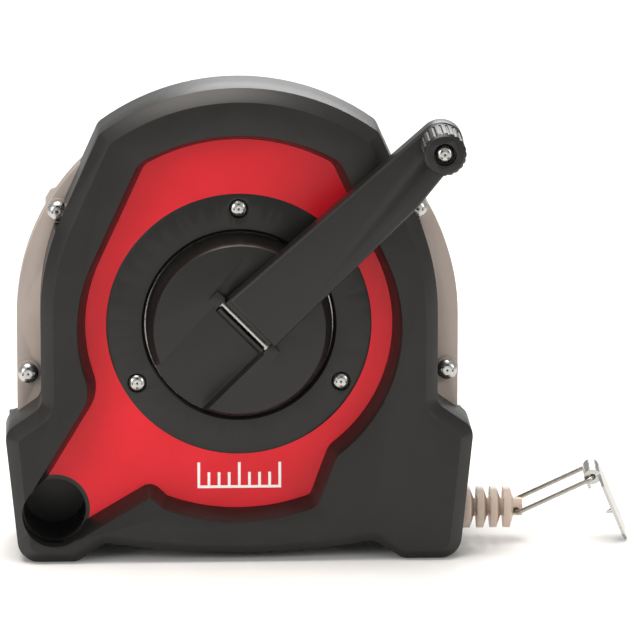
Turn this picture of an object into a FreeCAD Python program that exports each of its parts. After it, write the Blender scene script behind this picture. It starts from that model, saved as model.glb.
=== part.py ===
import FreeCAD, Part
import math
import os

# Chalk line reel with a folding crank and a 6 to 1 planetary drive.
# Millimetres. X to the right, Y to the back, Z up. The hub axis runs along Y through x = 0, and the
# two case halves meet at y = 0. Pieces are drawn about the hub axis, and save() lifts them by
# hub_height, so that the feet stand at z = 0.

V = FreeCAD.Vector
ORIGIN = V(0, 0, 0)
X_AXIS = V(1, 0, 0)
Y_AXIS = V(0, 1, 0)
Z_AXIS = V(0, 0, 1)

# ---------------------------------------------------------------- case outline, seen from the front
hub_height = 70.4
cap_radius = 69.0
cap_rise = 2.6
cap_half_width = 41.0
flank_slope = 24.3
flank_end_z = 32.5
waist_half_width = 58.5
waist_top_z = 4.0
waist_bottom_z = -23.5
shoulder_half_width = 69.3
shoulder_slope = 34.8
foot_half_width = 65.2
foot_inner_width = 48.4
belly_half_width = 39.8
belly_side_z = -64.7
belly_bottom_z = -68.1
cap_corner_radius = 4.0
waist_corner_radius = 4.0
shoulder_corner_radius = 5.0
foot_corner_radius = 6.5
foot_inner_radius = 4.5
belly_corner_radius = 4.0

# ---------------------------------------------------------------- depths from front to back
bumper_front_y = -25.0
panel_front_y = -16.4
panel_thickness = 2.0
wall = 2.2
flange_front_y = -4.0
flange_back_y = 4.0
rear_face_y = 25.5
rear_bumper_back_y = 23.0

# ---------------------------------------------------------------- bumper and its opening
bumper_wall = 2.8
bumper_chamfer = 3.7
skin_gap = 0.2
opening_draft = 2.6
bay_radius = 55.5
ring_bay_radius = 45.3
bay_corner_x = 27.7
crook_angle = -54.3
crook_foot_x = 21.0
crook_foot_z = -51.6
peak_x = -26.0
peak_z = -47.2
bay_left_x = -21.5
bay_left_z = -51.6
vee_top_angle = 205.4
vee_top_slope = 58.8
vee_low_slope = 30.6
vee_top_share = 0.45
vee_low_share = 0.62
bay_corner_radius = 4.0
crook_radius = 7.0
vee_top_radius = 12.0
bay_foot_radius = 2.5
peak_radius = 4.0
vee_end_radius = 1.0
bumper_corner_fill = 1.0
well_lip = 0.5

# ---------------------------------------------------------------- silver shells
flange_radius = 65.5
flange_skirt_z = -33.0
drum_radius = 58.0
rear_inset = 1.0
rear_shoe_top_z = -33.5
case_screw_high = (53.1, 32.4)
case_screw_low = (62.2, -16.5)
case_screw_boss = 3.6
case_screw_scallop = 3.9
case_screw_head = 3.0
case_screw_sink = 1.2
case_boss_depth = 13.0
case_screw_height = 2.3
case_screw_length = 13.0
screw_radius = 1.5
screw_bore_end = 10.0
shell_fillet = 4.0
shoe_chamfer = 2.5
rear_panel_radius = 40.0
rear_panel_sink = 0.8
rear_panel_proud = 0.4
rear_panel_play = 0.15
axle_boss_radius = 7.0
axle_boss_depth = 3.2
axle_end_wall = 1.2

# ---------------------------------------------------------------- hub cover, crank disc and gears
cover_radius = 39.2
cover_front_y = -17.2
cover_spigot_radius = 38.3
cover_bore = 27.9
cover_edge = 0.8
cover_fall = 0.4
cover_bore_edge = 0.9
hub_screw_circle = 34.8
hub_screw_angles = (90.0, 210.0, 330.0)
hub_boss_radius = 3.4
hub_screw_head = 2.6
hub_screw_recess = 2.9
hub_screw_sink = 1.7
hub_screw_height = 1.8
hub_screw_length = 7.5
hub_bore_end_y = -6.0
gear_pocket_radius = 30.8
pocket_floor_y = -4.8
pocket_floor = 1.8
carrier_radius = 30.0
carrier_thickness = 2.2
carrier_play = 0.3
disc_radius = 27.5
disc_face_radius = 25.7
disc_edge = 0.6
disc_rim_proud = 0.8
disc_front_y = -25.0
gear_module = 0.8
sun_teeth = 12
planet_teeth = 24
pressure_angle = 25.0
addendum = 0.8
dedendum = 1.05
backlash = 0.12
gear_width = 6.0
gear_gap = 0.6
gear_side_play = 0.2
planet_recess_outer = 7.4
planet_recess_inner = 3.4
planet_recess_depth = 1.2
planet_pin_radius = 1.5
planet_angles = (90.0, 210.0, 330.0)
axle_radius = 2.0
sun_shaft_radius = 3.5
bush_radius = 6.5
running_clearance = 0.05
axle_overhang = 1.0
axle_end_room = 0.4

# ---------------------------------------------------------------- folding crank
crank_angle = 43.7
hinge_angle = 134.6
hinge_x = 1.3
hinge_z = 1.6
hinge_y = -25.5
hinge_pin_radius = 1.3
hinge_pin_length = 25.0
knuckle_radius = 3.0
knuckle_half_width = 9.05
knuckle_slot = 2.2
ear_half_width = 1.9
arm_start = 2.7
arm_length = 79.4
arm_half_width = 9.75
arm_shoulder = 61.5
arm_shoulder_half_width = 8.8
arm_end_radius = 6.5
arm_thickness = 7.0
arm_gap = 0.8
arm_chamfer = 0.7
channel_clearance = 0.7
channel_end_room = 0.6
web_length = 1.0
web_depth = 2.6
web_overlap = 0.3
hinge_room = 1.1
hinge_side_room = 0.45
ear_overhang = 0.5
ear_cover = 0.5
ear_back = 1.2
knob_radius = 6.3
knob_length = 16.0
knob_gap = 0.4
knob_flutes = 20
knob_screw_radius = 1.75
knob_screw_head = 2.6
knob_screw_height = 2.0
knob_screw_grip = 5.0
knob_head_room = 0.05
knob_recess_radius = 3.3
knob_recess_depth = 2.6
knob_flute_radius = 0.62
knob_flute_offset = 0.35
knob_flute_stop = 1.6
knob_back_edge = 0.5
knob_back_rise = 0.8
knob_front_edge = 0.9
knob_front_rise = 1.0

# ---------------------------------------------------------------- knob well
well_offset = 0.5
well_distance = arm_length + well_offset
well_clearance = 2.9
well_radius = knob_radius + well_clearance
well_wall = 1.2
well_floor_y = 5.0
well_floor = 1.5

# ---------------------------------------------------------------- spool and line
spool_front_y = -2.5
spool_flange_radius = 40.0
spool_flange = 1.2
spool_core_radius = 14.0
spool_core_wall = 2.4
winding_width = 18.5
winding_radius = 31.8
drive_hex = 6.0
drive_depth = 4.5
drive_end_play = 0.2
spool_web = 1.8
spool_holes = 6
spool_hole_radius = 3.0
spool_hole_circle = 24.0
washer_radius = 6.0
washer_play = 0.2
spool_end_play = 0.3
line_radius = 0.6
exit_x = 66.3
exit_z = -60.1
exit_bore_radius = 4.2
lead_inside = 44.0
lead_in_boot = 6.0
eyelet_length = 4.6
eyelet_play = 0.35
wiper_length = 4.2

# ---------------------------------------------------------------- line end
boot_length = 17.9
boot_core_radius = 2.7
boot_rib_radius = 6.2
boot_ribs = 4
boot_gap = 1.0
boot_nose = 2.0
rib_foot_start = 0.25
rib_top_start = 0.05
rib_top_end = 0.55
rib_foot_end = 0.85
pivot_setback = 1.9
line_roll = 14.0
loop_tilt = 27.0
loop_length = 25.3
loop_width = 9.0
wire_radius = 0.65
wire_play = 0.35
wire_bend = 1.6
hook_angle = -68.0
hook_length = 23.2
hook_width = 12.0
hook_tip_width = 8.0
hook_thickness = 0.9
eye_width = 7.0
eye_radius = 2.5
hook_corner = 3.0
hook_lip = 3.4
prong_shares = (0.58, 0.67)
prong_offset = 2.2
prong_radius = 0.9
prong_tip = 0.15
prong_length = 2.4
prong_root = 0.1

# ---------------------------------------------------------------- fill door, in the top of the rear drum
door_left_x = -20.0
door_right_x = 20.0
door_front_y = 7.0
door_back_y = 19.0
door_thickness = 1.8
door_gap = 0.35
door_knuckle = 1.5
door_pin_radius = 0.8
door_pin_length = 16.0
door_seat = 2.0
door_seat_margin = 2.2
door_seat_overlap = 0.5
nail_inset = 3.5
nail_radius = 2.2
nail_lift = 1.2
nail_end = 2.5
fill_half_width = 14.0
fill_margin = 1.8
seal_thickness = 0.6
seal_margin = 1.2

# ---------------------------------------------------------------- lengths that only have to pass through
beyond = 100.0

# ================================================================ drawing helpers
def at(x, z, y=0.0):
    return V(x, y, z)


def polar(radius, degrees, y=0.0):
    angle = math.radians(degrees)
    return V(radius * math.cos(angle), y, radius * math.sin(angle))


def line(a, b):
    return Part.LineSegment(a, b).toShape()


def arc(a, middle, b):
    return Part.Arc(a, middle, b).toShape()


def arc_about(centre, radius, start, end):
    """An arc in the XZ plane about a centre, from one angle to another in degrees."""
    middle = (start + end) / 2.0
    return arc(centre + polar(radius, start), centre + polar(radius, middle), centre + polar(radius, end))


def face_of(edges):
    return Part.Face(Part.Wire(Part.__sortEdges__(edges)))


def prism(face, front, back):
    """The outline pushed along Y from front to back."""
    placed = face.copy()
    placed.translate(V(0, front - face.BoundBox.YMin, 0))
    return placed.extrude(V(0, back - front, 0))


def cylinder(radius, front, back, x=0.0, z=0.0):
    return Part.makeCylinder(radius, back - front, V(x, front, z), Y_AXIS)


def tube(outer, inner, front, back, x=0.0, z=0.0):
    return cylinder(outer, front, back, x, z).cut(cylinder(inner, front, back, x, z))


def box(x0, x1, y0, y1, z0, z1):
    return Part.makeBox(x1 - x0, y1 - y0, z1 - z0, V(x0, y0, z0))


def turned(points, x=0.0, z=0.0):
    """A solid turned about Y from (radius, y) points."""
    corners = [V(radius, y, 0) for radius, y in points]
    outline = Part.makePolygon(corners + [corners[0]])
    solid = Part.Face(outline).revolve(ORIGIN, Y_AXIS, 360)
    solid.translate(V(x, 0, z))
    return Part.Solid(solid) if solid.ShapeType == "Shell" else solid


def mirrored(shape):
    return shape.mirror(ORIGIN, X_AXIS)


def upright_edges(solid, corner):
    """The edges along Y that pass through a corner of the outline."""
    found = []
    for edge in solid.Edges:
        ends = [vertex.Point for vertex in edge.Vertexes]
        if all(math.hypot(end.x - corner.x, end.z - corner.z) < 0.01 for end in ends):
            found.append(edge)
    return found


def round_corners(solid, corners, radius):
    edges = []
    for corner in corners:
        edges += upright_edges(solid, corner)
    return solid.makeFillet(radius, edges)


def edges_at_y(solid, y):
    flat = [edge for edge in solid.Edges if edge.BoundBox.YLength < 0.001]
    return [edge for edge in flat if abs(edge.BoundBox.YMin - y) < 0.001]


def front_face(solid):
    """The outline of a prism, taken from its flat front."""
    flat = [face for face in solid.Faces if face.BoundBox.YLength < 0.001]
    flat.sort(key=lambda face: face.BoundBox.YMin)
    return Part.Face(flat[0].OuterWire)


def grown(face, amount):
    return Part.Face(face.OuterWire.makeOffset2D(amount))


def both_sides(corners):
    return list(corners) + [V(-corner.x, corner.y, corner.z) for corner in corners]


def crank_frame(shape, angle):
    """Takes a piece drawn with the arm along +X and the hinge at the origin to its place on the disc."""
    placed = shape.copy()
    placed.rotate(ORIGIN, Y_AXIS, -angle)
    placed.translate(V(hinge_x, hinge_y, hinge_z))
    return placed


def phillips_screw(head_radius, head_height, shank_radius, length):
    """A pan head screw along +Y, its head's underside at y = 0 and its crown at -head_height."""
    rim = 0.45 * head_height
    profile = [
        line(V(0, -head_height, 0), V(0, 0, 0)),
        line(V(0, 0, 0), V(head_radius, 0, 0)),
        line(V(head_radius, 0, 0), V(head_radius, -rim, 0)),
        arc(V(head_radius, -rim, 0), V(0.76 * head_radius, -0.86 * head_height, 0), V(0, -head_height, 0)),
    ]
    head = Part.Face(Part.Wire(profile)).revolve(ORIGIN, Y_AXIS, 360)
    slot = 0.32 * head_radius
    reach = 0.62 * head_radius
    depth = 0.62 * head_height
    across = box(-reach, reach, -head_height - 0.1, -head_height + depth, -slot / 2, slot / 2)
    upright = box(-slot / 2, slot / 2, -head_height - 0.1, -head_height + depth, -reach, reach)
    recess = across.fuse(upright)
    point = 1.2 * shank_radius
    shank = cylinder(shank_radius, 0.0, length - point)
    tip = Part.makeCone(shank_radius, 0.4 * shank_radius, point, V(0, length - point, 0), Y_AXIS)
    return head.cut(recess).fuse([shank, tip]).removeSplitter()


def placed_at(shape, x, y, z):
    copy = shape.copy()
    copy.translate(V(x, y, z))
    return copy


def save(name, shape):
    """Lifts a piece onto its feet and writes it as one STEP file."""
    solids = [solid for solid in shape.Solids if solid.Volume > 0.05]
    placed = solids[0] if len(solids) == 1 else Part.makeCompound(solids)
    placed.translate(V(0, 0, hub_height))
    if not placed.isValid():
        print("not valid:", name)
    placed.exportStep("parts/%s.step" % name)
    print("%-18s solids %d  volume %9.1f mm3" % (name, len(solids), placed.Volume))


# ================================================================ outlines
def bumper_outline(inset_all=0.0):
    """The bumper from the front: a round cap, sloping flanks, a waist, and two broad feet."""
    waist_x = waist_half_width - inset_all
    shoulder_x = shoulder_half_width - inset_all
    foot_x = foot_half_width - inset_all
    cap_centre = at(0, cap_rise)
    cap_corner = at(cap_half_width, cap_rise + math.sqrt(cap_radius ** 2 - cap_half_width ** 2))
    flank_run = (cap_corner.z - flank_end_z) * math.tan(math.radians(flank_slope))
    flank_end = at(cap_half_width + flank_run, flank_end_z)
    inset = waist_x - flank_end.x
    rise = flank_end_z - waist_top_z
    bulge = (inset ** 2 + rise ** 2) / (2 * inset)
    bulge_angle = math.degrees(math.asin(rise / bulge))
    bulge_centre = at(waist_x - bulge, waist_top_z)
    waist_low = at(waist_x, waist_bottom_z)
    shoulder_drop = (shoulder_x - waist_x) * math.tan(math.radians(shoulder_slope))
    shoulder = at(shoulder_x, waist_bottom_z - shoulder_drop)
    foot = at(foot_x, -hub_height)
    foot_inner = at(foot_inner_width, -hub_height)
    belly_side = at(belly_half_width, belly_side_z)
    half = [
        line(cap_corner, flank_end),
        arc_about(bulge_centre, bulge, bulge_angle, 0.0),
        line(at(waist_x, waist_top_z), waist_low),
        line(waist_low, shoulder),
        line(shoulder, foot),
        line(foot, foot_inner),
        line(foot_inner, belly_side),
    ]
    cap_side = V(-cap_corner.x, 0, cap_corner.z)
    belly_other = V(-belly_side.x, 0, belly_side.z)
    edges = half + [mirrored(edge) for edge in half]
    edges.append(arc(cap_side, cap_centre + V(0, 0, cap_radius), cap_corner))
    edges.append(arc(belly_side, at(0, belly_bottom_z), belly_other))
    solid = prism(face_of(edges), 0, 10)
    solid = round_corners(solid, both_sides([cap_corner]), cap_corner_radius)
    solid = round_corners(solid, both_sides([waist_low]), waist_corner_radius)
    solid = round_corners(solid, both_sides([shoulder]), shoulder_corner_radius)
    solid = round_corners(solid, both_sides([foot]), foot_corner_radius)
    solid = round_corners(solid, both_sides([foot_inner]), foot_inner_radius)
    solid = round_corners(solid, both_sides([belly_side]), belly_corner_radius)
    return front_face(solid)


def bay_outline():
    """The opening in the bumper: a round bay about the hub, with a wedge that runs out to the knob well."""
    top_corner = at(bay_corner_x, math.sqrt(bay_radius ** 2 - bay_corner_x ** 2))
    corner_angle = math.degrees(math.atan2(top_corner.z, top_corner.x))
    tangent = corner_angle - math.degrees(math.acos(ring_bay_radius / bay_radius))
    crook = polar(ring_bay_radius, crook_angle)
    crook_foot = at(crook_foot_x, crook_foot_z)
    bay_left = at(bay_left_x, bay_left_z)
    peak = at(peak_x, peak_z)
    vee_top = polar(ring_bay_radius, vee_top_angle)
    well = well_centre()
    vee_top_run = (vee_top.x - well.x + vee_top_share * well_radius)
    vee_top_end = vee_top - V(vee_top_run, 0, vee_top_run * math.tan(math.radians(vee_top_slope)))
    vee_low_run = (peak.x - well.x - vee_low_share * well_radius)
    vee_low_end = peak - V(vee_low_run, 0, vee_low_run * math.tan(math.radians(vee_low_slope)))
    edges = [
        arc(V(-top_corner.x, 0, top_corner.z), at(0, bay_radius), top_corner),
        line(top_corner, polar(ring_bay_radius, tangent)),
        arc_about(ORIGIN, ring_bay_radius, tangent, crook_angle),
        line(crook, crook_foot),
        arc(crook_foot, at(0, -bay_radius), bay_left),
        line(bay_left, peak),
        line(peak, vee_low_end),
        line(vee_low_end, vee_top_end),
        line(vee_top_end, vee_top),
        arc_about(ORIGIN, ring_bay_radius, vee_top_angle, 180.0 - tangent),
        line(polar(ring_bay_radius, 180.0 - tangent), V(-top_corner.x, 0, top_corner.z)),
    ]
    solid = prism(face_of(edges), 0, 10)
    solid = round_corners(solid, both_sides([top_corner]), bay_corner_radius)
    solid = round_corners(solid, [crook], crook_radius)
    solid = round_corners(solid, [vee_top], vee_top_radius)
    solid = round_corners(solid, [crook_foot, bay_left], bay_foot_radius)
    solid = round_corners(solid, [peak], peak_radius)
    solid = round_corners(solid, [vee_top_end, vee_low_end], vee_end_radius)
    return front_face(solid)


def well_centre():
    folded = 2 * hinge_angle - crank_angle
    return at(hinge_x, hinge_z) + polar(well_distance, folded)


def flange_outline():
    """The silver flange: a round top with straight sides down behind the shoulders."""
    edges = [
        arc(at(-flange_radius, 0), at(0, flange_radius), at(flange_radius, 0)),
        line(at(flange_radius, 0), at(flange_radius, flange_skirt_z)),
        line(at(flange_radius, flange_skirt_z), at(-flange_radius, flange_skirt_z)),
        line(at(-flange_radius, flange_skirt_z), at(-flange_radius, 0)),
    ]
    return face_of(edges)


OUTLINE = bumper_outline()
CORE = grown(OUTLINE, -(bumper_wall + skin_gap))
CAVITY = grown(OUTLINE, -(bumper_wall + skin_gap + wall))
BAY = bay_outline()
FLANGE = flange_outline()
WELL = well_centre()
panel_back_y = panel_front_y + panel_thickness
shell_inner_y = panel_back_y + wall
carrier_front_y = panel_back_y + carrier_play
carrier_back_y = carrier_front_y + carrier_thickness
gear_front_y = carrier_back_y + gear_gap
gear_back_y = gear_front_y + gear_width
ring_teeth = sun_teeth + 2 * planet_teeth
planet_circle = gear_module * (sun_teeth + planet_teeth) / 2.0
square = hinge_angle - 90.0
arm_skew = crank_angle - square
winding_front_y = spool_front_y + spool_flange
winding_back_y = winding_front_y + winding_width
pivot_x = boot_gap + boot_length - pivot_setback


def case_screw_places():
    return both_sides([at(*case_screw_high), at(*case_screw_low)])


def well_bore(radius, front, back):
    return cylinder(radius, front, back, WELL.x, WELL.z)


def exit_bore(radius):
    """The line's way out through the right side, on the joint between the case halves."""
    return Part.makeCylinder(radius, 2 * shoulder_half_width, V(0, 0, exit_z), X_AXIS)


# ================================================================ fill door, in the top of the drum
def drum_slice(outer, inner, left, right, front, back):
    """A piece of the drum's round wall between two x values."""
    ring = tube(outer, inner, front, back)
    return ring.common(box(left, right, front, back, 0, beyond))


def door_pin_place():
    radius = drum_radius - door_knuckle
    return at(door_left_x, math.sqrt(radius ** 2 - door_left_x ** 2))


DOOR_PIN = door_pin_place()
door_inner_radius = drum_radius - door_thickness
seal_radius = door_inner_radius - door_gap - seal_thickness


def door_opening():
    """The rebate in the drum that the door closes, with room for its knuckle to turn."""
    front = door_front_y - door_gap
    back = door_back_y + door_gap
    knuckle_room = cylinder(door_knuckle + door_gap, front, back, DOOR_PIN.x, DOOR_PIN.z)
    rebate = drum_slice(
        drum_radius + 5,
        seal_radius,
        DOOR_PIN.x - door_knuckle - door_gap,
        door_right_x + door_gap,
        front,
        back,
    )
    return rebate.fuse(knuckle_room)


def door_seat_pad():
    """The thicker wall round the rebate, inside the drum."""
    return drum_slice(
        drum_radius - door_seat_overlap,
        seal_radius - door_seat,
        DOOR_PIN.x - door_knuckle - door_gap - door_seat_margin,
        door_right_x + door_gap + door_seat_margin,
        door_front_y - door_gap - door_seat_margin,
        door_back_y + door_gap + door_seat_margin,
    )


def fill_hole():
    return box(
        -fill_half_width,
        fill_half_width,
        door_front_y + fill_margin,
        door_back_y - fill_margin,
        0.7 * drum_radius,
        drum_radius + 5,
    )


def door_pin_bar(radius, length):
    middle = (door_front_y + door_back_y) / 2
    return cylinder(radius, middle - length / 2, middle + length / 2, DOOR_PIN.x, DOOR_PIN.z)


def make_door():
    leaf = drum_slice(drum_radius, door_inner_radius, DOOR_PIN.x, door_right_x, door_front_y, door_back_y)
    knuckle = cylinder(door_knuckle, door_front_y, door_back_y, DOOR_PIN.x, DOOR_PIN.z)
    door = leaf.fuse(knuckle).removeSplitter()
    door = door.cut(door_pin_bar(door_pin_radius + running_clearance, beyond))
    nail_x = door_right_x - nail_inset
    nail_z = math.sqrt(drum_radius ** 2 - nail_x ** 2) + nail_lift
    nail_notch = cylinder(nail_radius, door_front_y + nail_end, door_back_y - nail_end, nail_x, nail_z)
    save("fill_door", door.cut(nail_notch))
    save("door_hinge_pin", door_pin_bar(door_pin_radius, door_pin_length))
    seal = drum_slice(
        seal_radius + seal_thickness,
        seal_radius,
        -fill_half_width - seal_margin,
        fill_half_width + seal_margin,
        door_front_y + fill_margin - seal_margin,
        door_back_y - fill_margin + seal_margin,
    )
    save("door_seal", seal.cut(fill_hole()))


# ================================================================ front bumper
def make_front_bumper():
    """A black moulding about 3 mm thick that wraps the front half, open at its back."""
    shell = prism(OUTLINE, bumper_front_y, 0)
    shell = shell.makeChamfer(bumper_chamfer, edges_at_y(shell, bumper_front_y))
    wide = grown(BAY, opening_draft)
    narrow_wire = BAY.OuterWire.copy()
    wide_wire = wide.OuterWire.copy()
    narrow_wire.translate(V(0, panel_front_y - narrow_wire.BoundBox.YMin, 0))
    wide_wire.translate(V(0, bumper_front_y - wide_wire.BoundBox.YMin, 0))
    mouth = Part.makeLoft([wide_wire, narrow_wire], True, True)
    hollow_front = bumper_front_y + bumper_chamfer + bumper_wall - bumper_corner_fill
    hollow = prism(CORE, hollow_front, 0)
    skirt = prism(grown(BAY, opening_draft + bumper_wall), bumper_front_y, panel_front_y)
    hollow = hollow.cut(skirt)
    bumper = shell.cut(hollow).cut(mouth)
    bumper = bumper.cut(prism(BAY, panel_front_y - 0.01, 0))
    bumper = bumper.cut(well_bore(well_radius + well_lip, bumper_front_y - 1, panel_front_y))
    bumper = bumper.cut(well_bore(well_radius + well_wall, panel_front_y, 0))
    bumper = bumper.cut(prism(FLANGE, flange_front_y, 0))
    scallop_front = bumper_front_y + bumper_chamfer
    for place in case_screw_places():
        bumper = bumper.cut(cylinder(case_screw_scallop, scallop_front, 0, place.x, place.z))
    bumper = bumper.cut(exit_bore(exit_bore_radius))
    save("front_bumper", bumper)


# ================================================================ red front panel
def make_front_panel():
    panel = prism(BAY, panel_front_y, panel_back_y)
    panel = panel.cut(cylinder(cover_spigot_radius, panel_front_y - 1, panel_back_y + 1))
    panel = panel.cut(well_bore(well_radius + well_wall, panel_front_y - 1, panel_back_y + 1))
    save("front_panel", panel)


# ================================================================ front shell
def make_front_shell():
    """The silver front half: a wall behind the panel, side walls, a flange and a gear pocket."""
    body = prism(CORE, panel_back_y, 0)
    body = body.fuse(prism(FLANGE, flange_front_y, 0))
    for place in case_screw_places():
        boss = cylinder(case_screw_boss, flange_front_y - case_screw_sink, 0, place.x, place.z)
        body = body.fuse(boss.common(prism(FLANGE, flange_front_y - case_screw_sink, 0)))
    inside = prism(CAVITY, shell_inner_y, 0)
    solids_inside = [cylinder(gear_pocket_radius + wall, shell_inner_y, pocket_floor_y + pocket_floor)]
    for angle in hub_screw_angles:
        place = polar(hub_screw_circle, angle)
        solids_inside.append(cylinder(hub_boss_radius, shell_inner_y, pocket_floor_y, place.x, place.z))
    for piece in solids_inside:
        inside = inside.cut(piece)
    body = body.cut(inside)
    body = body.cut(cylinder(gear_pocket_radius, panel_back_y, pocket_floor_y))
    body = body.cut(cylinder(bush_radius, pocket_floor_y - 1, 1))
    body = body.cut(well_bore(well_radius + well_wall, panel_back_y - 1, 1))
    for angle in hub_screw_angles:
        place = polar(hub_screw_circle, angle)
        body = body.cut(cylinder(screw_radius, panel_back_y - 1, hub_bore_end_y, place.x, place.z))
    for place in case_screw_places():
        body = body.cut(cylinder(screw_radius, -screw_bore_end, 1, place.x, place.z))
    body = body.cut(exit_bore(exit_bore_radius))
    save("front_shell", body)


# ================================================================ rear half
def make_rear_half():
    outline = bumper_outline(rear_inset)
    keep = box(-beyond, beyond, -1, beyond, -beyond, rear_shoe_top_z)
    shoe = prism(outline, 0, rear_bumper_back_y)
    shoe = shoe.makeChamfer(shoe_chamfer, edges_at_y(shoe, rear_bumper_back_y)).common(keep)
    keep_block = box(-beyond, beyond, -1, beyond, -beyond, rear_shoe_top_z - bumper_wall)
    block = prism(grown(outline, -bumper_wall), 0, rear_bumper_back_y - bumper_wall).common(keep_block)
    drum = cylinder(drum_radius, 0, rear_face_y)
    drum = drum.makeFillet(shell_fillet, edges_at_y(drum, rear_face_y))
    shell = drum.fuse([block, prism(FLANGE, 0, flange_back_y)])
    for place in case_screw_places():
        boss = cylinder(case_screw_boss, 0, case_boss_depth, place.x, place.z)
        low, high = sorted((0, place.x))
        rib = box(low, high, 0, case_boss_depth, place.z - wall / 2, place.z + wall / 2)
        shell = shell.fuse([boss.common(prism(FLANGE, 0, case_boss_depth)), rib])
    shell = shell.removeSplitter()

    cavity = cylinder(drum_radius - wall, 0, rear_face_y - wall)
    block_hollow = prism(grown(outline, -(bumper_wall + wall)), 0, rear_bumper_back_y - bumper_wall - wall)
    keep_hollow = box(-beyond, beyond, -1, beyond, -beyond, rear_shoe_top_z - bumper_wall - wall)
    cavity = cavity.fuse(block_hollow.common(keep_hollow))
    hub_boss = cylinder(axle_boss_radius, rear_face_y - wall - axle_boss_depth, rear_face_y)
    shell = shell.cut(cavity).fuse([hub_boss, door_seat_pad()])
    shell = shell.cut(door_opening()).cut(fill_hole())
    shell = shell.cut(door_pin_bar(door_pin_radius, door_pin_length))
    shell = shell.cut(cylinder(axle_radius, 0, rear_face_y - axle_end_wall))
    for place in case_screw_places():
        shell = shell.cut(cylinder(screw_radius, -1, screw_bore_end, place.x, place.z))
    panel_seat = rear_panel_radius + rear_panel_play
    shell = shell.cut(cylinder(panel_seat, rear_face_y - rear_panel_sink, rear_face_y + 1))
    shell = shell.cut(well_bore(well_radius + well_wall, -1, well_floor_y + well_floor))
    shell = shell.cut(exit_bore(exit_bore_radius))
    save("rear_shell", shell)

    shoe = shoe.cut(drum).cut(block).cut(prism(FLANGE, 0, flange_back_y))
    for place in case_screw_places():
        shoe = shoe.cut(cylinder(case_screw_boss, 0, case_boss_depth, place.x, place.z))
    shoe = shoe.cut(well_bore(well_radius + well_wall, -1, well_floor_y + well_floor))
    shoe = shoe.cut(exit_bore(exit_bore_radius))
    save("rear_bumper", shoe)

    panel = cylinder(rear_panel_radius, rear_face_y - rear_panel_sink, rear_face_y + rear_panel_proud)
    panel = panel.makeChamfer(0.75 * rear_panel_proud, edges_at_y(panel, rear_face_y + rear_panel_proud))
    save("rear_panel", panel)


# ================================================================ hub cover and its screws
def make_hub_cover():
    """The black ring that holds the crank in: it sits on the panel, with a spigot through it."""
    crown = cover_front_y
    ring = turned(
        [
            (cover_bore, panel_back_y),
            (cover_bore, crown + cover_bore_edge),
            (cover_bore + cover_bore_edge, crown),
            (cover_radius - cover_edge, crown + cover_fall),
            (cover_radius, panel_front_y),
            (cover_spigot_radius, panel_front_y),
            (cover_spigot_radius, panel_back_y),
        ]
    )
    screw = phillips_screw(hub_screw_head, hub_screw_height, screw_radius, hub_screw_length)
    seat_y = crown + hub_screw_sink
    screws = []
    for angle in hub_screw_angles:
        place = polar(hub_screw_circle, angle)
        ring = ring.cut(cylinder(hub_screw_recess, crown - 1, seat_y, place.x, place.z))
        ring = ring.cut(cylinder(screw_radius, seat_y - 1, panel_back_y + 1, place.x, place.z))
        screws.append(placed_at(screw, place.x, seat_y, place.z))
    save("hub_cover", ring)
    save("hub_cover_screws", Part.makeCompound(screws))


def make_case_screws():
    screw = phillips_screw(case_screw_head, case_screw_height, screw_radius, case_screw_length)
    seat_y = flange_front_y - case_screw_sink
    places = case_screw_places()
    save("case_screws", Part.makeCompound([placed_at(screw, p.x, seat_y, p.z) for p in places]))


# ================================================================ knob well
def make_knob_well():
    """A black cup that takes the knob when the crank is folded."""
    cup = well_bore(well_radius + well_wall, panel_front_y, well_floor_y + well_floor)
    cup = cup.cut(well_bore(well_radius, panel_front_y - 1, well_floor_y))
    save("knob_well", cup)


# ================================================================ gears
def involute(angle):
    return math.tan(angle) - angle


def gear_face(teeth, tip, root, thickness, first_tooth):
    """A gear outline with involute flanks, each drawn as an arc through three points."""
    pitch = gear_module * teeth / 2.0
    base = pitch * math.cos(math.radians(pressure_angle))
    half = thickness / (2.0 * pitch) + involute(math.radians(pressure_angle))
    foot = max(root, base * 1.0005)
    step = 360.0 / teeth
    edges = []

    def flank(radius):
        return math.degrees(half - involute(math.acos(base / radius)))

    for tooth in range(teeth):
        middle = first_tooth + tooth * step
        rising = [polar(r, middle - flank(r)) for r in (foot, (foot + tip) / 2, tip)]
        falling = [polar(r, middle + flank(r)) for r in (tip, (foot + tip) / 2, foot)]
        next_foot = polar(foot, middle + step - flank(foot))
        edges.append(arc(*rising))
        edges.append(arc(rising[2], polar(tip, middle), falling[0]))
        edges.append(arc(*falling))
        if foot > root + 0.001:
            root_start = polar(root, middle + flank(foot))
            root_end = polar(root, middle + step - flank(foot))
            edges.append(line(falling[2], root_start))
            edges.append(arc(root_start, polar(root, middle + step / 2), root_end))
            edges.append(line(root_end, next_foot))
        else:
            edges.append(arc(falling[2], polar(root, middle + step / 2), next_foot))
    return face_of(edges)


def external_gear(teeth, first_tooth):
    pitch = gear_module * teeth / 2.0
    tip = pitch + addendum * gear_module
    root = pitch - dedendum * gear_module
    return gear_face(teeth, tip, root, math.pi * gear_module / 2 - backlash / 2, first_tooth)


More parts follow.
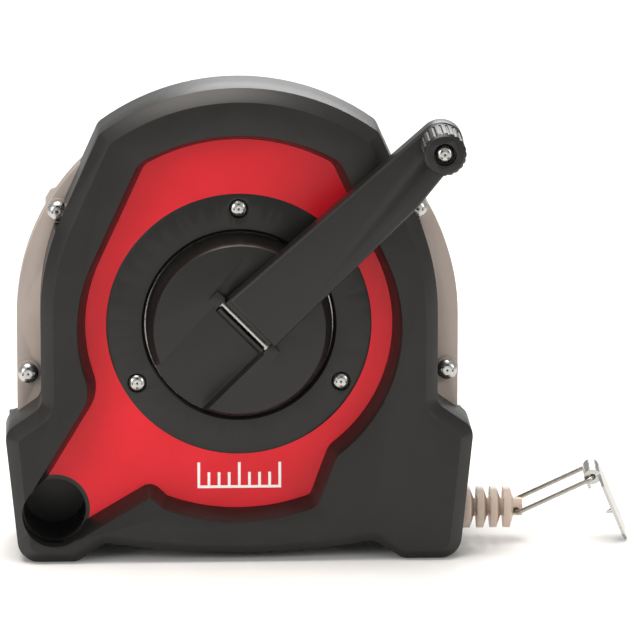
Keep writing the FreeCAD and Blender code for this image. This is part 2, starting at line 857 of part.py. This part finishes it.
def make_gears():
    pitch = gear_module * ring_teeth / 2.0
    # the tooth spaces of the ring are cut as a slightly fat external gear
    spaces = gear_face(
        ring_teeth,
        pitch + dedendum * gear_module,
        pitch - addendum * gear_module,
        math.pi * gear_module / 2 + backlash / 2,
        planet_angles[0],
    )
    blank = cylinder(gear_pocket_radius, gear_front_y, gear_back_y)
    save("ring_gear", blank.cut(prism(spaces, gear_front_y, gear_back_y)))

    tooth_front = gear_front_y + gear_side_play
    tooth_back = gear_back_y - gear_side_play
    planet = prism(external_gear(planet_teeth, planet_angles[0]), tooth_front, tooth_back)
    planet = planet.cut(cylinder(planet_pin_radius + running_clearance, gear_front_y, gear_back_y))
    recess_back = gear_front_y + planet_recess_depth
    planet = planet.cut(tube(planet_recess_outer, planet_recess_inner, gear_front_y, recess_back))
    for number, angle in enumerate(planet_angles):
        place = polar(planet_circle, angle)
        save("planet_gear_%d" % (number + 1), placed_at(planet, place.x, 0, place.z))

    tooth = planet_angles[0] + 180.0 / sun_teeth
    sun = prism(external_gear(sun_teeth, tooth), tooth_front, tooth_back)
    hex_front = spool_front_y - drive_end_play
    shaft = cylinder(sun_shaft_radius, tooth_back, hex_front)
    drive = prism(hexagon(drive_hex), hex_front, hex_front + drive_depth)
    sun = sun.fuse([shaft, drive]).removeSplitter()
    save("sun_gear", sun.cut(cylinder(axle_radius + running_clearance, -beyond, beyond)))


def hexagon(across_flats):
    radius = across_flats / math.sqrt(3)
    corners = [polar(radius, 30.0 + 60.0 * side) for side in range(6)]
    return Part.Face(Part.makePolygon(corners + [corners[0]]))


def make_carrier():
    plate = cylinder(carrier_radius, carrier_front_y, carrier_back_y)
    plate = plate.cut(cylinder(axle_radius + running_clearance, carrier_front_y - 1, carrier_back_y + 1))
    pins = []
    for angle in planet_angles:
        place = polar(planet_circle, angle)
        pin = cylinder(planet_pin_radius, carrier_front_y, gear_back_y + gear_side_play, place.x, place.z)
        plate = plate.cut(pin)
        pins.append(pin)
    save("carrier_plate", plate)
    save("planet_pins", Part.makeCompound(pins))


# ================================================================ crank
def arm_outline(outset=0.0):
    """The arm from the front, along +X from its hinge, wider at the hinge than at the knob."""
    end = arm_end_radius + outset
    upper = at(arm_start - outset, arm_half_width + outset)
    lower = at(arm_start - outset, -arm_half_width - outset)
    shoulder = at(arm_shoulder, -arm_shoulder_half_width - outset)
    tip_high = at(arm_length, end)
    tip_low = at(arm_length, -end)
    edges = [
        line(lower, upper),
        line(upper, tip_high),
        arc(tip_high, at(arm_length + end, 0), tip_low),
        line(tip_low, shoulder),
        line(shoulder, lower),
    ]
    return face_of(edges)


def skewed(shape):
    """Turns the arm a little off square to its hinge pin, so that it folds onto the knob well."""
    turned_shape = shape.copy()
    turned_shape.rotate(ORIGIN, Y_AXIS, -arm_skew)
    return turned_shape


def make_crank():
    arm = prism(arm_outline(), -arm_gap - arm_thickness, -arm_gap)
    arm = arm.makeChamfer(arm_chamfer, edges_at_y(arm, -arm_gap - arm_thickness))
    channel_front = -arm_gap - arm_thickness - channel_end_room
    folded = skewed(prism(arm_outline(channel_clearance), channel_front, -arm_gap + channel_end_room))
    folded.rotate(ORIGIN, Z_AXIS, 180)
    arm = skewed(arm)
    knuckle = Part.makeCylinder(knuckle_radius, 2 * knuckle_half_width, V(0, 0, -knuckle_half_width), Z_AXIS)
    web_end = arm_start + web_length
    web = box(0, web_end, -arm_gap - web_depth, web_overlap, -knuckle_half_width, knuckle_half_width)
    pin_bore = Part.makeCylinder(hinge_pin_radius + running_clearance, 2 * beyond, V(0, 0, -beyond), Z_AXIS)
    slot = box(-knuckle_slot / 2, knuckle_slot / 2, -beyond, 0, -beyond, beyond)
    trimmed = knuckle.cut(box(-beyond, beyond, -beyond, -arm_gap - web_depth, -beyond, beyond))
    arm = arm.fuse([trimmed, web]).cut(pin_bore).cut(slot).removeSplitter()
    screw_hole = skewed(cylinder(knob_screw_radius, -beyond, 1, arm_length, 0))
    arm = arm.cut(screw_hole)
    save("crank_arm", crank_frame(arm, square))

    pin = Part.makeCylinder(hinge_pin_radius, hinge_pin_length, V(0, 0, -hinge_pin_length / 2), Z_AXIS)
    save("crank_hinge_pin", crank_frame(pin, square))

    disc = turned(
        [
            (0, carrier_front_y),
            (disc_radius, carrier_front_y),
            (disc_radius, cover_front_y - disc_rim_proud),
            (disc_face_radius, disc_front_y + disc_edge),
            (disc_face_radius - disc_edge, disc_front_y),
            (0, disc_front_y),
        ]
    )
    reach = knuckle_radius + hinge_room
    half = knuckle_half_width + hinge_side_room
    pocket = Part.makeCylinder(reach, 2 * half, V(0, 0, -half), Z_AXIS)
    mouth = box(-reach, reach, -beyond, 0, -half, half)
    room = crank_frame(pocket.fuse([mouth, folded]), square)
    disc = disc.cut(room)
    ear_start = half
    ear_end = hinge_pin_length / 2 + ear_overhang
    ears = []
    for side in (-1, 1):
        low = min(side * ear_start, side * ear_end)
        high = low + ear_end - ear_start
        ear_front = -hinge_pin_radius - ear_cover
        ear = box(-ear_half_width, ear_half_width, ear_front, ear_back, low, high)
        ears.append(crank_frame(ear, square))
    disc = disc.fuse(ears).removeSplitter()
    disc = disc.cut(crank_frame(pin, square))
    axle_room = carrier_front_y - axle_overhang - axle_end_room
    disc = disc.cut(cylinder(axle_radius + running_clearance, axle_room, 0))
    save("crank_disc", disc)

    make_knob()


def make_knob():
    """A fluted knob that turns on a shouldered screw, whose head sits in the knob's end."""
    back = -arm_gap - arm_thickness - knob_gap
    front = back - knob_length
    profile = turned(
        [
            (0, back),
            (knob_radius - knob_back_edge, back),
            (knob_radius, back - knob_back_rise),
            (knob_radius, front + knob_front_rise),
            (knob_radius - knob_front_edge, front),
            (0, front),
        ]
    )
    for flute in range(knob_flutes):
        place = polar(knob_radius + knob_flute_offset, flute * 360.0 / knob_flutes)
        flute_back = back - knob_flute_stop
        profile = profile.cut(cylinder(knob_flute_radius, front - 1, flute_back, place.x, place.z))
    recess = cylinder(knob_recess_radius, front - 1, front + knob_recess_depth)
    bore = cylinder(knob_screw_radius + running_clearance, front, back + 1)
    knob = skewed(placed_at(profile.cut(recess).cut(bore), arm_length, 0, 0))
    save("crank_knob", crank_frame(knob, square))
    shank = knob_length - knob_recess_depth + knob_gap + knob_screw_grip
    screw = phillips_screw(knob_screw_head, knob_screw_height, knob_screw_radius, shank)
    screw.translate(V(0, front + knob_recess_depth - knob_head_room, 0))
    save("knob_screw", crank_frame(skewed(placed_at(screw, arm_length, 0, 0)), square))


# ================================================================ spool and its bearings
def make_spool():
    front = cylinder(spool_flange_radius, spool_front_y, winding_front_y)
    core = tube(spool_core_radius, spool_core_radius - spool_core_wall, spool_front_y, winding_back_y)
    centre = cylinder(bush_radius, spool_front_y, winding_back_y)
    web = cylinder(spool_core_radius, spool_front_y, winding_front_y + spool_web)
    hub = front.fuse([core, centre, web]).removeSplitter()
    hub = hub.cut(prism(hexagon(drive_hex), spool_front_y - 1, spool_front_y + drive_depth - drive_end_play))
    hub = hub.cut(cylinder(axle_radius + running_clearance, -beyond, beyond))
    save("spool_hub", hub)
    back = cylinder(spool_flange_radius, winding_back_y, winding_back_y + spool_flange)
    back = back.cut(cylinder(axle_radius + running_clearance, -beyond, beyond))
    for hole in range(spool_holes):
        place = polar(spool_hole_circle, 30.0 + 360.0 / spool_holes * hole)
        hole_back = winding_back_y + spool_flange + 1
        back = back.cut(cylinder(spool_hole_radius, winding_back_y - 1, hole_back, place.x, place.z))
    save("spool_rear_flange", back)
    save("line_winding", tube(winding_radius, spool_core_radius, winding_front_y, winding_back_y))

    bush = cylinder(bush_radius, pocket_floor_y, pocket_floor_y + pocket_floor)
    save("sun_bush", bush.cut(cylinder(sun_shaft_radius + running_clearance, -beyond, 0)))
    save("spool_axle", cylinder(axle_radius, carrier_front_y - axle_overhang, rear_face_y - axle_end_wall))
    boss_y = rear_face_y - wall - axle_boss_depth
    flange_back = winding_back_y + spool_flange
    washer = tube(washer_radius, axle_radius + washer_play, flange_back + spool_end_play, boss_y)
    save("thrust_washer", washer)


# ================================================================ line exit and line end
def along_line(shape):
    """Moves a piece drawn along +X from the case's side to the line exit."""
    placed = shape.copy()
    placed.translate(V(exit_x, 0, exit_z))
    return placed


def rolled(shape):
    """Turns a piece of the line end about the line, as a free line lets it turn."""
    placed = shape.copy()
    placed.rotate(ORIGIN, X_AXIS, line_roll)
    return placed


def bar_x(radius, start, end):
    return Part.makeCylinder(radius, end - start, V(start, 0, 0), X_AXIS)


def make_exit():
    eyelet_bore = bar_x(line_radius + eyelet_play, -beyond, beyond)
    save("exit_eyelet", along_line(bar_x(exit_bore_radius, -eyelet_length, 0.0).cut(eyelet_bore)))
    wiper_start = -eyelet_length - wiper_length
    wiper_bore = bar_x(line_radius + running_clearance, -beyond, beyond)
    wiper = bar_x(exit_bore_radius, wiper_start, -eyelet_length).cut(wiper_bore)
    save("exit_wiper", along_line(wiper))
    lead = bar_x(line_radius, -lead_inside, boot_gap + lead_in_boot)
    save("line_lead", along_line(lead))


def make_boot():
    """The soft stop on the line's end: four slanting ribs on a round core, and a nose for the wire."""
    start = boot_gap
    pitch = (boot_length - boot_nose) / boot_ribs
    corners = [V(start, 0, 0), V(start, boot_rib_radius, 0)]
    for rib in range(boot_ribs):
        left = start + rib * pitch
        if rib > 0:
            corners.append(V(left + rib_foot_start * pitch, boot_core_radius, 0))
            corners.append(V(left + rib_top_start * pitch, boot_rib_radius, 0))
        corners.append(V(left + rib_top_end * pitch, boot_rib_radius, 0))
        corners.append(V(left + rib_foot_end * pitch, boot_core_radius, 0))
    nose = start + boot_length
    corners.append(V(nose, boot_core_radius, 0))
    corners.append(V(nose, 0, 0))
    body = Part.Face(Part.makePolygon(corners + [corners[0]])).revolve(ORIGIN, X_AXIS, 360)
    body = body.cut(bar_x(line_radius, -1, start + lead_in_boot))
    bore = Part.makeCylinder(wire_radius + wire_play, 40, V(pivot_x, -20, 0), Y_AXIS)
    save("line_boot", along_line(rolled(body.cut(bore))))


def loop_frame(shape, angle):
    """Takes a piece drawn from the loop's pivot along +X to its place at the boot's nose."""
    placed = shape.copy()
    placed.rotate(ORIGIN, Y_AXIS, -angle)
    placed.translate(V(pivot_x, 0, 0))
    return along_line(rolled(placed))


def make_wire_loop():
    """One closed loop of spring wire: a cross bar in the boot's nose and a bar that carries the hook."""
    half = loop_width / 2
    bend = wire_bend
    inner = half - bend
    far = loop_length - bend
    quarter = bend * (1 - math.sqrt(0.5))
    path = [
        line(V(0, -inner, 0), V(0, inner, 0)),
        arc(V(0, inner, 0), V(quarter, half - quarter, 0), V(bend, half, 0)),
        line(V(bend, half, 0), V(far, half, 0)),
        arc(V(far, half, 0), V(loop_length - quarter, half - quarter, 0), V(loop_length, inner, 0)),
        line(V(loop_length, inner, 0), V(loop_length, -inner, 0)),
        arc(V(loop_length, -inner, 0), V(loop_length - quarter, quarter - half, 0), V(far, -half, 0)),
        line(V(far, -half, 0), V(bend, -half, 0)),
        arc(V(bend, -half, 0), V(quarter, quarter - half, 0), V(0, -inner, 0)),
    ]
    section = Part.Wire([Part.Circle(ORIGIN, Y_AXIS, wire_radius).toShape()])
    ring = Part.Wire(path).makePipeShell([section], True, False)
    ring = Part.Solid(ring) if ring.ShapeType == "Shell" else ring
    save("wire_loop", loop_frame(ring, loop_tilt))


def make_hook():
    """A stamped steel hook: an eye on the loop's bar, a flat blade, and two prongs that bite."""
    half = eye_width / 2
    eye = Part.makeCylinder(eye_radius, eye_width, V(0, -half, 0), Y_AXIS)
    lip = box(0, hook_lip, -half, half, -eye_radius, -eye_radius + hook_thickness)
    shank = box(0, hook_corner, -half, half, eye_radius - hook_thickness, eye_radius)
    block = eye.fuse([lip, shank])
    root = eye_radius - hook_thickness
    outline = Part.makePolygon(
        [
            V(0, -half, root),
            V(hook_corner, -hook_width / 2, root),
            V(hook_length - hook_corner, -hook_width / 2, root),
            V(hook_length, -hook_tip_width / 2, root),
            V(hook_length, hook_tip_width / 2, root),
            V(hook_length - hook_corner, hook_width / 2, root),
            V(hook_corner, hook_width / 2, root),
            V(0, half, root),
            V(0, -half, root),
        ]
    )
    blade = Part.Face(outline).extrude(V(0, 0, hook_thickness))
    prongs = []
    for share, side in zip(prong_shares, (-1, 1)):
        place = V(share * hook_length, side * prong_offset, root + prong_root)
        prongs.append(Part.makeCone(prong_radius, prong_tip, prong_length, place, V(0, 0, -1)))
    hook = block.fuse([blade] + prongs).removeSplitter()
    hook = hook.cut(Part.makeCylinder(wire_radius + wire_play, 40, V(0, -20, 0), Y_AXIS))
    placed = hook.copy()
    placed.rotate(ORIGIN, Y_AXIS, -(hook_angle - loop_tilt))
    placed.translate(V(loop_length, 0, 0))
    save("end_hook", loop_frame(placed, loop_tilt))


os.makedirs("parts", exist_ok=True)
make_front_bumper()
make_front_panel()
make_front_shell()
make_rear_half()
make_hub_cover()
make_case_screws()
make_knob_well()
make_gears()
make_carrier()
make_crank()
make_spool()
make_exit()
make_boot()
make_wire_loop()
make_hook()
make_door()
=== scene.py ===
import math

import bpy
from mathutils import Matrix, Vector


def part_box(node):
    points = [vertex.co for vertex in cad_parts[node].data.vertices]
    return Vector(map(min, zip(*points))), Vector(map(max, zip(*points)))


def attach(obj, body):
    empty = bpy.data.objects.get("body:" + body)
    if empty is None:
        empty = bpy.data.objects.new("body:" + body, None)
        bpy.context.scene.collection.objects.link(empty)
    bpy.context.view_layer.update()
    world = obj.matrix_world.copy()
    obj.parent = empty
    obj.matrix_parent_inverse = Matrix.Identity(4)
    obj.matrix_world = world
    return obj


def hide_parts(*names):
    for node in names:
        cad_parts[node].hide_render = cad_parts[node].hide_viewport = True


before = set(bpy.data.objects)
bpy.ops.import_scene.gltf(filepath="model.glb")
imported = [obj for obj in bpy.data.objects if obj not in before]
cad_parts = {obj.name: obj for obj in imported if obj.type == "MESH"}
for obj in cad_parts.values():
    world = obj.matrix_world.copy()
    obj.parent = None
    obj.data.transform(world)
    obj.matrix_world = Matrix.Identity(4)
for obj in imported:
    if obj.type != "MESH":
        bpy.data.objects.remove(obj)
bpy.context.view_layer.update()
bpy.context.scene.view_settings.view_transform = "Standard"


# ---------------------------------------------------------------- studio
# A pale bench under three soft lamps, seen from a little above and a little to the left of the hub.
# The reel stands on its feet, so the bench top is the plane of the feet.
def link(thing, name):
    made = bpy.data.objects.new(name, thing)
    bpy.context.scene.collection.objects.link(made)
    return made


def aim(thing, place, target):
    thing.location = place
    thing.rotation_mode = "QUATERNION"
    thing.rotation_quaternion = (target - place).to_track_quat("-Z", "Y")


hub_low, hub_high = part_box("hub_cover")
hub = (hub_low + hub_high) / 2
hub.y = hub_low.y
view_target = hub + Vector((0.0239, 0.0, 0.0012))
view_distance = 2.0
view_width = 0.1888
view_side = math.radians(-2.5)
view_rise = math.radians(12.0)
eye = bpy.data.cameras.new("eye")
eye.sensor_width = 36.0
eye.lens = eye.sensor_width * view_distance / view_width
eye.clip_start = 0.05
eye.clip_end = 30.0
toward_eye = Vector((
    math.sin(view_side) * math.cos(view_rise),
    -math.cos(view_side) * math.cos(view_rise),
    math.sin(view_rise),
))
camera = link(eye, "eye")
aim(camera, view_target + toward_eye * view_distance, view_target)
bpy.context.scene.camera = camera


def lamp(name, place, size, watts, tint):
    light = bpy.data.lights.new(name, "AREA")
    light.size = size
    light.energy = watts
    light.color = tint
    aim(link(light, name), Vector(place), hub)


lamp("lamp_above", (-0.15, -0.1, 1.1), 0.7, 12.0, (1.0, 0.95, 0.9))
lamp("lamp_left", (-1.0, -0.8, 0.45), 0.5, 5.0, (1.0, 1.0, 1.0))
lamp("lamp_right", (1.0, -0.7, 0.5), 0.5, 3.0, (1.0, 1.0, 1.0))
lamp("lamp_behind", (0.2, 1.1, 0.7), 0.7, 6.0, (1.0, 1.0, 1.0))
sky = bpy.data.worlds.new("studio")
sky.use_nodes = True
sky.node_tree.nodes["Background"].inputs["Color"].default_value = (1.0, 1.0, 1.0, 1.0)
sky.node_tree.nodes["Background"].inputs["Strength"].default_value = 0.5
bpy.context.scene.world = sky


def linear(code):
    """A #rrggbb colour as the shader's linear values."""
    parts = [int(code[i:i + 2], 16) / 255.0 for i in (1, 3, 5)]
    return tuple(p / 12.92 if p <= 0.04045 else ((p + 0.055) / 1.055) ** 2.4 for p in parts) + (1.0,)


def add_node(material, kind, **settings):
    """Adds one shader node and sets its named sockets or properties."""
    made = material.node_tree.nodes.new(kind)
    for key, value in settings.items():
        socket = key.replace("_", " ")
        if socket in made.inputs:
            made.inputs[socket].default_value = value
        else:
            setattr(made, key, value)
    return made


def new_finish(name, colour, roughness, metallic=0.0):
    material = bpy.data.materials.new(name)
    material.use_nodes = True
    shader = shader_of(material)
    shader.inputs["Base Color"].default_value = linear(colour)
    shader.inputs["Roughness"].default_value = roughness
    shader.inputs["Metallic"].default_value = metallic
    return material, shader


def shader_of(material):
    return material.node_tree.nodes["Principled BSDF"]


def moulded(name, dark, light, rough_low, rough_high, grain_mm, depth_mm, metallic=0.0):
    """A moulded skin: a fine tool grain in the bump, with colour and gloss that wander slowly."""
    material, shader = new_finish(name, dark, rough_low, metallic)
    links = material.node_tree.links
    place = add_node(material, "ShaderNodeTexCoord")
    grain = add_node(material, "ShaderNodeTexNoise", Scale=1000.0 / grain_mm, Detail=2.0)
    drift = add_node(material, "ShaderNodeTexNoise", Scale=60.0, Detail=4.0)
    tone = add_node(material, "ShaderNodeValToRGB")
    tone.color_ramp.elements[0].color = linear(dark)
    tone.color_ramp.elements[0].position = 0.35
    tone.color_ramp.elements[1].color = linear(light)
    tone.color_ramp.elements[1].position = 0.7
    gloss = add_node(material, "ShaderNodeMapRange", To_Min=rough_low, To_Max=rough_high)
    bump = add_node(material, "ShaderNodeBump", Strength=0.6, Distance=depth_mm / 1000.0)
    links.new(place.outputs["Object"], grain.inputs["Vector"])
    links.new(place.outputs["Object"], drift.inputs["Vector"])
    links.new(drift.outputs["Fac"], tone.inputs["Fac"])
    links.new(drift.outputs["Fac"], gloss.inputs["Value"])
    links.new(grain.outputs["Fac"], bump.inputs["Height"])
    links.new(tone.outputs["Color"], shader.inputs["Base Color"])
    links.new(gloss.outputs["Result"], shader.inputs["Roughness"])
    links.new(bump.outputs["Normal"], shader.inputs["Normal"])
    return material


bpy.ops.mesh.primitive_plane_add(size=12.0, location=(0.0, 0.0, 0.0))
bench = bpy.context.object
bench.name = "bench"
bench.data.materials.append(moulded("bench_white", "#f2f1ef", "#f6f5f3", 0.7, 0.8, 1.5, 0.01))


# ---------------------------------------------------------------- bumpers
# Black thermoplastic rubber moulded round both halves of the case. It takes the knocks, and it makes
# the feet. The tool's spark finish leaves it satin, and every corner of it has a small radius.
def alone(piece):
    bpy.ops.object.select_all(action="DESELECT")
    piece.select_set(True)
    bpy.context.view_layer.objects.active = piece


merge_gap = 0.000002
flat_angle = math.radians(0.05)


def softened(node_name, body, material, radius_mm, smooth=30.0):
    """A CAD solid's own shape with each hard edge rounded, because a tool has no knife edges."""
    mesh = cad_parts[node_name].data.copy()
    piece = link(mesh, node_name + "_skin")
    mesh.materials.clear()
    mesh.materials.append(material)
    alone(piece)
    bpy.ops.object.mode_set(mode="EDIT")
    bpy.ops.mesh.select_all(action="SELECT")
    bpy.ops.mesh.remove_doubles(threshold=merge_gap)
    bpy.ops.mesh.select_all(action="SELECT")
    bpy.ops.mesh.dissolve_limited(angle_limit=flat_angle)
    bpy.ops.mesh.select_all(action="DESELECT")
    bpy.ops.object.mode_set(mode="OBJECT")
    bevel = piece.modifiers.new("edge_radius", "BEVEL")
    bevel.width = radius_mm / 1000.0
    bevel.segments = 2
    bevel.limit_method = "ANGLE"
    bevel.angle_limit = math.radians(smooth)
    bevel.use_clamp_overlap = True
    bpy.ops.object.modifier_apply(modifier=bevel.name)
    bpy.ops.object.shade_smooth_by_angle(angle=math.radians(smooth))
    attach(piece, body)
    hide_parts(node_name)


bumper_rubber = moulded("bumper_rubber", "#171615", "#1d1c1a", 0.36, 0.46, 0.35, 0.02)
shader_of(bumper_rubber).inputs["Specular IOR Level"].default_value = 0.35
softened("front_bumper", "case", bumper_rubber, 0.45)
softened("rear_bumper", "case", bumper_rubber, 0.45)

# ---------------------------------------------------------------- panels
# Red ABS, let into the bumper's opening at the front and into the drum at the back.
def dress(material, *names):
    """Gives CAD nodes a finish in their own material slots."""
    for name in names:
        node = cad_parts[name]
        if not node.material_slots:
            node.data.materials.append(material)
        for slot in node.material_slots:
            slot.material = material


panel_red = moulded("panel_red", "#d0101f", "#da1526", 0.32, 0.42, 0.3, 0.008)
shader_of(panel_red).inputs["Specular IOR Level"].default_value = 0.35
dress(panel_red, "front_panel", "rear_panel")

# ---------------------------------------------------------------- graduation mark
# White ink, pad printed on the panel under the hub: a plain line with ticks, with no letters or
# numbers. The film of ink is 0.05 mm thick.
mark_width = 0.024
mark_stroke = 0.0008
mark_film = 0.00005
mark_drop = 0.0492
tick_count = 9
ticks_per_tall = 4
tick_tall = 0.0070
tick_short = 0.0040
panel_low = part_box("front_panel")[0]
mark_y = panel_low.y - mark_film / 2
mark_z = hub.z - mark_drop
strokes = [(0.0, mark_z, mark_width + mark_stroke, mark_stroke)]
for tick in range(tick_count):
    tall = tick_tall if tick % ticks_per_tall == 0 else tick_short
    tick_x = mark_width * (tick / (tick_count - 1) - 0.5)
    strokes.append((tick_x, mark_z + mark_stroke / 2 + tall / 2, mark_stroke, tall))
bars = []
for stroke_x, stroke_z, wide, tall in strokes:
    bpy.ops.mesh.primitive_cube_add(size=1.0, location=(stroke_x, mark_y, stroke_z))
    bar = bpy.context.object
    bar.scale = (wide, mark_film, tall)
    bars.append(bar)
mark = bars[0]
alone(mark)
for bar in bars:
    bar.select_set(True)
bpy.ops.object.join()
bpy.ops.object.transform_apply(location=True, rotation=True, scale=True)
mark.name = "graduation_mark"
mark.data.materials.append(moulded("ink_white", "#f0efec", "#f8f7f4", 0.4, 0.5, 0.3, 0.002))
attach(mark, "case")

# ---------------------------------------------------------------- shells
# ABS under a matt champagne silver paint. The flange of both halves is what shows at the sides.
shell_paint = moulded("shell_paint", "#a3978f", "#ada199", 0.36, 0.48, 0.12, 0.004, 0.35)
softened("front_shell", "case", shell_paint, 0.3)
softened("rear_shell", "case", shell_paint, 0.3)

# ---------------------------------------------------------------- hub cover, crank and knob well
# Glass filled nylon in black, a little glossier than the bumper. The arm folds into the disc.
crank_nylon = moulded("crank_nylon", "#151413", "#1b1a18", 0.3, 0.4, 0.25, 0.01)
shader_of(crank_nylon).inputs["Specular IOR Level"].default_value = 0.4
softened("hub_cover", "case", crank_nylon, 0.25)
softened("crank_disc", "crank", crank_nylon, 0.3)
softened("crank_arm", "arm", crank_nylon, 0.4)
softened("crank_knob", "knob", crank_nylon, 0.2)
dress(crank_nylon, "knob_well", "spool_hub", "spool_rear_flange", "fill_door")


# ---------------------------------------------------------------- steel
# Bright zinc plated screws, pins and axle, with faint tumbling marks from the plating barrel.
def plated(name, dark, light, rough_low, rough_high):
    material, shader = new_finish(name, light, rough_low, 1.0)
    links = material.node_tree.links
    place = add_node(material, "ShaderNodeTexCoord")
    marks = add_node(material, "ShaderNodeTexNoise", Scale=900.0, Detail=5.0, Distortion=1.2)
    tone = add_node(material, "ShaderNodeValToRGB")
    tone.color_ramp.elements[0].color = linear(dark)
    tone.color_ramp.elements[1].color = linear(light)
    gloss = add_node(material, "ShaderNodeMapRange", To_Min=rough_low, To_Max=rough_high)
    bump = add_node(material, "ShaderNodeBump", Strength=0.25, Distance=0.00002)
    links.new(place.outputs["Object"], marks.inputs["Vector"])
    links.new(marks.outputs["Fac"], tone.inputs["Fac"])
    links.new(marks.outputs["Fac"], gloss.inputs["Value"])
    links.new(marks.outputs["Fac"], bump.inputs["Height"])
    links.new(tone.outputs["Color"], shader.inputs["Base Color"])
    links.new(gloss.outputs["Result"], shader.inputs["Roughness"])
    links.new(bump.outputs["Normal"], shader.inputs["Normal"])
    return material


zinc = plated("zinc_plate", "#9d9d9c", "#d4d3d0", 0.18, 0.34)
spring_steel = plated("spring_steel", "#8a8680", "#beb9b1", 0.16, 0.3)
dress(zinc, "hub_cover_screws", "case_screws", "spool_axle", "planet_pins", "crank_hinge_pin")
dress(zinc, "knob_screw", "thrust_washer", "door_hinge_pin", "end_hook", "carrier_plate")
dress(spring_steel, "wire_loop")

# ---------------------------------------------------------------- gears, bush and eyelet
# Natural acetal, run dry. It is a milky white, and light goes a little way into it.
acetal = moulded("acetal", "#e3e0d6", "#ebe8de", 0.3, 0.4, 0.6, 0.004)
shader_of(acetal).inputs["Subsurface Weight"].default_value = 0.15
shader_of(acetal).inputs["Subsurface Scale"].default_value = 0.002
dress(acetal, "planet_gear_1", "planet_gear_2", "planet_gear_3")
dress(acetal, "ring_gear", "sun_gear", "sun_bush", "exit_eyelet")

# ---------------------------------------------------------------- line
# Twisted cotton and polyester, blue with chalk dust. On the spool the turns lie side by side.
line_finish = moulded("chalked_line", "#7f9cc4", "#b9c8de", 0.85, 0.95, 0.5, 0.1)
line_turn = 0.0012
line_place = add_node(line_finish, "ShaderNodeTexCoord")
line_turns = add_node(line_finish, "ShaderNodeTexWave", Scale=math.pi / 10.0 / line_turn, bands_direction="Y")
line_relief = add_node(line_finish, "ShaderNodeBump", Strength=1.0, Distance=line_turn / 4)
line_links = line_finish.node_tree.links
line_links.new(line_place.outputs["Object"], line_turns.inputs["Vector"])
line_links.new(line_turns.outputs["Fac"], line_relief.inputs["Height"])
line_links.new(line_relief.outputs["Normal"], shader_of(line_finish).inputs["Normal"])
felt = moulded("wool_felt", "#6a6a6d", "#7c7c80", 0.9, 1.0, 0.4, 0.2)
seal_rubber = moulded("seal_rubber", "#1d1d1d", "#242424", 0.6, 0.7, 0.5, 0.02)
dress(line_finish, "line_winding", "line_lead")
dress(felt, "exit_wiper")
dress(seal_rubber, "door_seal")

# ---------------------------------------------------------------- boot
# Soft clear vinyl with a pink cast, which stops the line at the exit and flexes with the wire.
boot_vinyl = moulded("boot_vinyl", "#d9c6b6", "#e2d2c4", 0.3, 0.4, 0.8, 0.01)
boot_shader = shader_of(boot_vinyl)
boot_shader.inputs["Subsurface Weight"].default_value = 0.4
boot_shader.inputs["Subsurface Scale"].default_value = 0.004
boot_shader.inputs["Transmission Weight"].default_value = 0.25
softened("line_boot", "line_end", boot_vinyl, 0.35)
